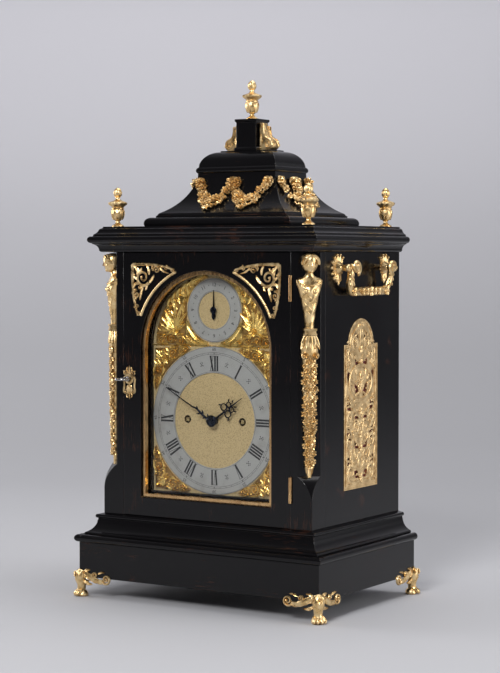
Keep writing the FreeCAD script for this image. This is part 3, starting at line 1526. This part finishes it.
def make_back_cock():
    """Bridge on the back plate that carries the pallet arbor and the pendulum."""
    x, z = PALLET_AT
    y0 = BACK_PLATE_Y1
    y1 = y0 + COCK_REACH
    top = z + 7.0
    bridge = block(-20, 20, y1 - 3.0, y1, z - 5.0, top)
    legs = [block(side * 20 - 3, side * 20 + 3, y0, y1, z - 5.0, top) for side in (-1, 1)]
    stem = turned_y(0, PENDULUM_Z, y1, y1 + 6.0, 1.8)
    whole = fused(bridge, stem, *legs)
    return whole.cut(turned_y(x, z, y1 - 4, y1 + 1, ARBOR_R + RUN))


# ---------------------------------------------------------------- movement: trains
def make_barrel(at, pinion_at):
    """Going barrel: the great wheel and the spring's drum, bored to turn on the winding arbor."""
    g0, g1 = layer(GREAT_U, 2.0)
    d0, d1 = layer(DRUM_U, DRUM_LONG + 1.0)
    wheel = toothed(at, GOING_TEETH, GREAT_MODULE, g0, g1, heading(at, pinion_at))
    drum = turned_y(at[0], at[1], d0, d1, DRUM_R)
    lip = turned_y(at[0], at[1], d0, d0 + 2.0, DRUM_R + 0.8)
    return fused(drum, wheel, lip).cut(turned_y(at[0], at[1], d0 - 1, g1 + 1, WINDING_R + RUN))


def make_winding(at):
    """Winding arbor: it carries the barrel and ends in a square behind the dial's hole."""
    round_part = arbor(at, FRONT_PLATE_Y, BACK_PLATE_Y1, WINDING_R)
    half = 2.2
    square = block(at[0] - half, at[0] + half, DIAL_Y + 0.6, FRONT_PLATE_Y, at[1] - half, at[1] + half)
    ratchet_y = FRONT_PLATE_Y - 2.4
    ratchet = toothed(at, 16, 1.0, ratchet_y - 1.6, ratchet_y, 0.0)
    return fused(round_part, square, ratchet)


def make_second_wheel():
    w0, w1 = layer(SECOND_U)
    g0, g1 = layer(GREAT_U - 1.0, PINION_LONG)
    wheel = toothed(SECOND_AT, SECOND_TEETH, SECOND_MODULE, w0, w1, heading(SECOND_AT, CENTRE_AT))
    wheel = crossed(wheel, SECOND_AT, w0, w1, 17.5, 5.0)
    aim = heading(SECOND_AT, GOING_AT)
    pinion = toothed(SECOND_AT, SECOND_PINION_TEETH, GREAT_MODULE, g0, g1, aim, gap=True, slim=LEAF_SLIM)
    return fused(arbor(SECOND_AT), wheel, pinion)


def make_centre_wheel():
    """Centre arbor: its front end passes through the dial side and carries the hands by friction."""
    w0, w1 = layer(CENTRE_U)
    p0, p1 = layer(SECOND_U - 1.2, PINION_LONG)
    wheel = toothed(CENTRE_AT, CENTRE_TEETH, CENTRE_MODULE, w0, w1, heading(CENTRE_AT, THIRD_AT))
    wheel = crossed(wheel, CENTRE_AT, w0, w1, 17.0, 5.0)
    aim = heading(CENTRE_AT, SECOND_AT)
    pinion = toothed(CENTRE_AT, CENTRE_PINION_TEETH, SECOND_MODULE, p0, p1, aim, gap=True, slim=LEAF_SLIM)
    front = arbor(CENTRE_AT, MINUTE_Y + 6.0, FRONT_PLATE_Y + 1.0, CANNON_TIP_R - 0.5)
    return fused(arbor(CENTRE_AT, FRONT_PLATE_Y, BACK_PLATE_Y1, CENTRE_R), wheel, pinion, front)


def make_third_wheel():
    w0, w1 = layer(THIRD_U)
    p0, p1 = layer(CENTRE_U - 1.2, PINION_LONG)
    wheel = toothed(THIRD_AT, THIRD_TEETH, THIRD_MODULE, w0, w1, heading(THIRD_AT, ESCAPE_AT))
    wheel = crossed(wheel, THIRD_AT, w0, w1, 13.8, 4.5)
    aim = heading(THIRD_AT, CENTRE_AT)
    pinion = toothed(THIRD_AT, THIRD_PINION_TEETH, CENTRE_MODULE, p0, p1, aim, gap=True, slim=LEAF_SLIM)
    return fused(arbor(THIRD_AT), wheel, pinion)


def make_escape_wheel():
    """Escape wheel with leaning pointed teeth."""
    y0, y1 = layer(ESCAPE_U, 1.4)
    step = 2 * math.pi / ESCAPE_TEETH
    points = []
    for i in range(ESCAPE_TEETH):
        a = i * step
        root = ESCAPE_R - 3.0
        for radius, turn in ((root, a), (ESCAPE_R, a + step * 0.20), (root, a + step * 0.72)):
            points.append((ESCAPE_AT[0] + radius * math.cos(turn), ESCAPE_AT[1] + radius * math.sin(turn)))
    wheel = crossed(slab_y(points, y0, y1), ESCAPE_AT, y0, y1, 6.4, 3.4)
    p0, p1 = layer(THIRD_U - 1.2, PINION_LONG)
    aim = heading(ESCAPE_AT, THIRD_AT)
    pinion = toothed(ESCAPE_AT, ESCAPE_PINION_TEETH, THIRD_MODULE, p0, p1, aim, gap=True, slim=LEAF_SLIM)
    return fused(arbor(ESCAPE_AT), wheel, pinion)


def make_pallets():
    """Anchor over the escape wheel, its arbor, and the crutch that the pendulum rod hangs in."""
    y0, y1 = layer(ESCAPE_U - 0.3, 2.0)
    x, z = PALLET_AT
    stand = ESCAPE_R + 0.6
    anchor = [
        (x - 2.6, z + 2.2),
        ((x - 9.0, z + 0.5), (x - 12.2, z - 7.6)),
        (x - 11.2, z - 9.8),
        (x - 9.6, z - 6.6),
        ((x, z - 2.4), (x + 9.6, z - 6.6)),
        (x + 11.2, z - 9.8),
        (x + 12.2, z - 7.6),
        ((x + 9.0, z + 0.5), (x + 2.6, z + 2.2)),
    ]
    body = slab_y(anchor, y0, y1)
    body = body.cut(turned_y(ESCAPE_AT[0], ESCAPE_AT[1], y0 - 1, y1 + 1, stand))
    shaft = arbor(PALLET_AT, FRONT_PLATE_Y, BACK_PLATE_Y1 + COCK_REACH)
    c0 = BACK_PLATE_Y1 + 4.0
    crutch = block(x - 1.5, x + 1.5, c0, c0 + 1.5, z - CRUTCH_LONG, z)
    hub = turned_y(x, z, c0 - 1.0, c0 + 3.0, 4.0)
    gap = PENDULUM_ROD_R + 0.25
    fork = [
        block(x + side * (gap + 0.75) - 0.75, x + side * (gap + 0.75) + 0.75, c0, ROD_Y + 3.0,
              z - CRUTCH_LONG - 4.0, z - CRUTCH_LONG + 4.0)
        for side in (-1, 1)
    ]
    bridge = block(x - gap - 1.5, x + gap + 1.5, c0, c0 + 1.5, z - CRUTCH_LONG - 4.0, z - CRUTCH_LONG + 4.0)
    return fused(shaft, body, crutch, hub, bridge, *fork)


def make_pendulum():
    """Rod with a lens-shaped bob; its top block hangs on the cock's stem."""
    top = PENDULUM_Z
    low = CASE_FOOT + BOB_CLEAR + BOB_R
    rod = turned_z(0, ROD_Y, low, top - 3.0, PENDULUM_ROD_R)
    head = turned_y(0, top, ROD_Y - 2.4, ROD_Y + 2.4, 4.6)
    swell = BOB_R * 0.62
    lens = [(0.0, -4.5), ((swell, -3.3), (BOB_R, -0.6)), (BOB_R, 0.6), ((swell, 3.3), (0.0, 4.5))]
    bob = lathe(lens, V(0, ROD_Y, low), V(0, 1, 0))
    nut = turned_z(0, ROD_Y, low - BOB_R - 5.0, low - BOB_R + 1.0, 3.6)
    whole = fused(rod, head, bob, nut)
    return whole.cut(turned_y(0, top, ROD_Y - 6, ROD_Y + 6, 1.8 + RUN))


# ---------------------------------------------------------------- movement: motion work and strike
def make_cannon_pinion():
    """Pinion on the centre arbor that drives the minute wheel and carries the minute hand."""
    y1 = FRONT_PLATE_Y - 1.0
    y0 = y1 - 3.0
    aim = heading(CENTRE_AT, MINUTE_WHEEL_AT)
    pinion = toothed(CENTRE_AT, CANNON_TEETH, MOTION_MODULE, y0, y1, aim, slim=LEAF_SLIM)
    pipe = turned_y(0, HAND_Z, MINUTE_Y - HAND_THICK - 0.6, y1, CANNON_TIP_R)
    wide = turned_y(0, HAND_Z, HOUR_Y - 1.0, y1, CANNON_PIPE_R)
    whole = fused(pinion, pipe, wide)
    bore = turned_y(0, HAND_Z, MINUTE_Y + 5.0, y1 + 1, CANNON_TIP_R - 0.5 + RUN)
    return whole.cut(bore)


def make_minute_wheel():
    at = MINUTE_WHEEL_AT
    y1 = FRONT_PLATE_Y - 1.6
    y0 = y1 - WHEEL_THICK
    wheel = toothed(at, MINUTE_TEETH, MOTION_MODULE, y0, y1, heading(at, CENTRE_AT), gap=True)
    pinion = toothed(
        at, MINUTE_PINION_TEETH, HOUR_MODULE, y0 - 3.6, y0, heading(at, CENTRE_AT), slim=LEAF_SLIM
    )
    return fused(wheel, pinion).cut(turned_y(at[0], at[1], y0 - 6, y1 + 1, STUD_R + RUN))


def make_hour_wheel():
    y1 = FRONT_PLATE_Y - 1.6 - WHEEL_THICK - 1.0
    y0 = y1 - WHEEL_THICK
    wheel = toothed(
        CENTRE_AT, HOUR_TEETH, HOUR_MODULE, y0, y1, heading(CENTRE_AT, MINUTE_WHEEL_AT), gap=True
    )
    pipe = turned_y(0, HAND_Z, HOUR_Y - HAND_THICK - 0.3, y1, HOUR_PIPE_R)
    return fused(wheel, pipe).cut(turned_y(0, HAND_Z, HOUR_Y - 4, y1 + 1, CANNON_PIPE_R + RUN))


def make_pin_wheel():
    """Strike wheel whose pins lift the hammer's tail."""
    at = PIN_AT
    w0, w1 = layer(SECOND_U)
    g0, g1 = layer(GREAT_U - 1.0, PINION_LONG)
    wheel = toothed(at, PIN_TEETH, SECOND_MODULE, w0, w1, 90.0)
    wheel = crossed(wheel, at, w0, w1, 11.4, 4.6)
    pinion = toothed(
        at, STRIKE_PINION_TEETH, GREAT_MODULE, g0, g1, heading(at, STRIKE_AT), gap=True, slim=LEAF_SLIM
    )
    pins = []
    for i in range(PIN_COUNT):
        a = 2 * math.pi * (i + 0.5) / PIN_COUNT
        pin_at = (at[0] + PIN_RING * math.cos(a), at[1] + PIN_RING * math.sin(a))
        pins.append(turned_y(pin_at[0], pin_at[1], w0 - 3.0, w0, STRIKE_PIN_R))
    return fused(arbor(at), wheel, pinion, *pins)


def make_bell():
    """Bell on its stand, mouth down over the plates."""
    y = BELL_AT_Y
    high = BELL_HIGH
    outside = [(0.0, high), (BELL_R * 0.62, high * 0.88), (BELL_R * 0.86, high * 0.45), (BELL_R, 0.0)]
    inside = [
        (BELL_R - BELL_WALL, 0.0),
        (BELL_R * 0.86 - BELL_WALL * 0.93, high * 0.45 - BELL_WALL * 0.4),
        (BELL_R * 0.62 - BELL_WALL * 0.58, high * 0.88 - BELL_WALL * 0.82),
        (0.0, high - BELL_WALL),
    ]
    shell = lathe(outside + inside, V(0, y, BELL_LOW))
    post = turned_z(0, y, BELL_LOW - 14.0, BELL_LOW + high + 5.0, 2.2)
    nut = turned_z(0, y, BELL_LOW + high - 0.5, BELL_LOW + high + 4.0, 5.0)
    arm = block(-4.0, 4.0, y - 3.0, INNER_Y1 + PLATE_THICK + 2.0, BELL_LOW - 17.0, BELL_LOW - 13.5)
    leg = block(-4.0, 4.0, BACK_PLATE_Y1, BACK_PLATE_Y1 + 2.0, PLATE_HIGH - 12.0, BELL_LOW - 13.5)
    return fused(shell, post, nut, arm, leg)


def make_hammer():
    """Hammer arbor with its tail beside the pins and its head beside the bell."""
    x, z = HAMMER_AT
    h0 = INNER_Y0 + SECOND_U - 2.7
    shaft = arbor(HAMMER_AT)
    lean_x = x - 26.0
    head_z = BELL_LOW + 5.0
    stem_start = V(x, h0 + 1.0, z)
    stem_end = V(lean_x, h0 + 1.0, head_z)
    stem = Part.makeCylinder(1.4, (stem_end - stem_start).Length, stem_start, stem_end - stem_start)
    way = (stem_end - stem_start).normalize()
    side = V(way.z, 0, -way.x)
    head = Part.makeCylinder(4.2, 15.0, stem_end - side * 7.0, side)
    hub = turned_y(x, z, h0 - 1.0, h0 + 3.0, 3.4)
    # the tail ends just outside the circle that the pins run in
    span = math.hypot(PIN_AT[0] - x, PIN_AT[1] - z)
    ux, uz = (PIN_AT[0] - x) / span, (PIN_AT[1] - z) / span
    long = span - PIN_RING - STRIKE_PIN_R - TAIL_CLEAR
    half = 1.2
    tail_steps = [
        (x - uz * half, z + ux * half),
        (x + uz * half, z - ux * half),
        (x + ux * long + uz * half * 0.6, z + uz * long - ux * half * 0.6),
        (x + ux * long - uz * half * 0.6, z + uz * long + ux * half * 0.6),
    ]
    tail = slab_y(tail_steps, h0 - 0.5, h0 + 2.2)
    return fused(shaft, stem, head, hub, tail)


# ---------------------------------------------------------------- the clock, piece by piece
keep("plinth", make_plinth())
keep("base_moulding", make_base_moulding())
keep("corner_posts", *make_corner_posts())
keep("side_panels", *make_side_panels())
keep("cornice", make_cornice())
keep("top_board", make_top_board())
keep("caddy_base", stacked(CADDY_PROFILE, CADDY_LESS))
keep("caddy_bell", stacked(BELL_PROFILE, BELL_LESS))
keep("caddy_cap", stacked(CAP_PROFILE, BELL_LESS))
keep("pedestal_block", make_pedestal())
keep("finials", *make_finials())
keep("paw_feet", *[make_foot(side, rear) for side in (-1, 1) for rear in (False, True)])
keep("flower_swags", make_swag(49.0, "front"), make_swag(32.0, "right"), make_swag(32.0, "left"))
console = make_console()
keep("console_scrolls", console, mirrored(console))
caryatid = make_caryatid()
keep("caryatid_mounts", caryatid, mirrored(caryatid))
fret = make_side_fret()
keep("side_frets", fret, mirrored(fret))
silk = make_silk()
keep("fret_silks", silk, mirrored(silk))
plates = make_handle_plates()
keep("handle_plates", *(plates + [mirrored(p) for p in plates]))
bail = make_bail()
keep("handle_right", bail)
keep("handle_left", mirrored(bail))
keep("front_door", make_front_door())
keep("door_bead", make_door_bead())
keep("door_glass", make_door_glass())
spandrel = make_door_fret()
keep("door_frets", spandrel, mirrored(spandrel))
keep("escutcheon", make_escutcheon())
keep("lock_bolt", make_lock_bolt())
keep("door_key", make_door_key())
keep("door_hinges", *make_case_hinges())
keep("door_hinge_leaves", *make_door_leaves())
keep("back_door", make_back_door())
keep("back_glass", make_back_glass())
keep("back_pivots", *make_back_pivots())
keep("back_latch", make_back_latch())
keep("dial_mask", make_dial_mask())
keep("dial_plate", make_dial_plate())
keep("silvered_rings", *make_rings())
keep("dial_spandrels", *make_spandrels())
keep("minute_hand", make_minute_hand())
keep("hour_hand", make_hour_hand())
keep("arch_hand", make_arch_hand())
keep("front_plate", make_front_plate())
keep("back_plate", make_back_plate())
keep("plate_pillars", *make_pillars())
keep("back_cock", make_back_cock())
keep("going_barrel", make_barrel(GOING_AT, SECOND_AT))
keep("strike_barrel", make_barrel(STRIKE_AT, PIN_AT))
keep("going_winding_arbor", make_winding(GOING_AT))
keep("strike_winding_arbor", make_winding(STRIKE_AT))
keep("second_wheel", make_second_wheel())
keep("centre_wheel", make_centre_wheel())
keep("third_wheel", make_third_wheel())
keep("escape_wheel", make_escape_wheel())
keep("pallets", make_pallets())
keep("pendulum", make_pendulum())
keep("cannon_pinion", make_cannon_pinion())
keep("minute_wheel", make_minute_wheel())
keep("hour_wheel", make_hour_wheel())
keep("pin_wheel", make_pin_wheel())
keep("hammer", make_hammer())
keep("bell", make_bell())

os.makedirs("parts", exist_ok=True)
for name, shape in parts.items():
    shape.exportStep(os.path.join("parts", name + ".step"))
print(len(parts), "sub-parts,", sum(len(s.Solids) for s in parts.values()), "solids")
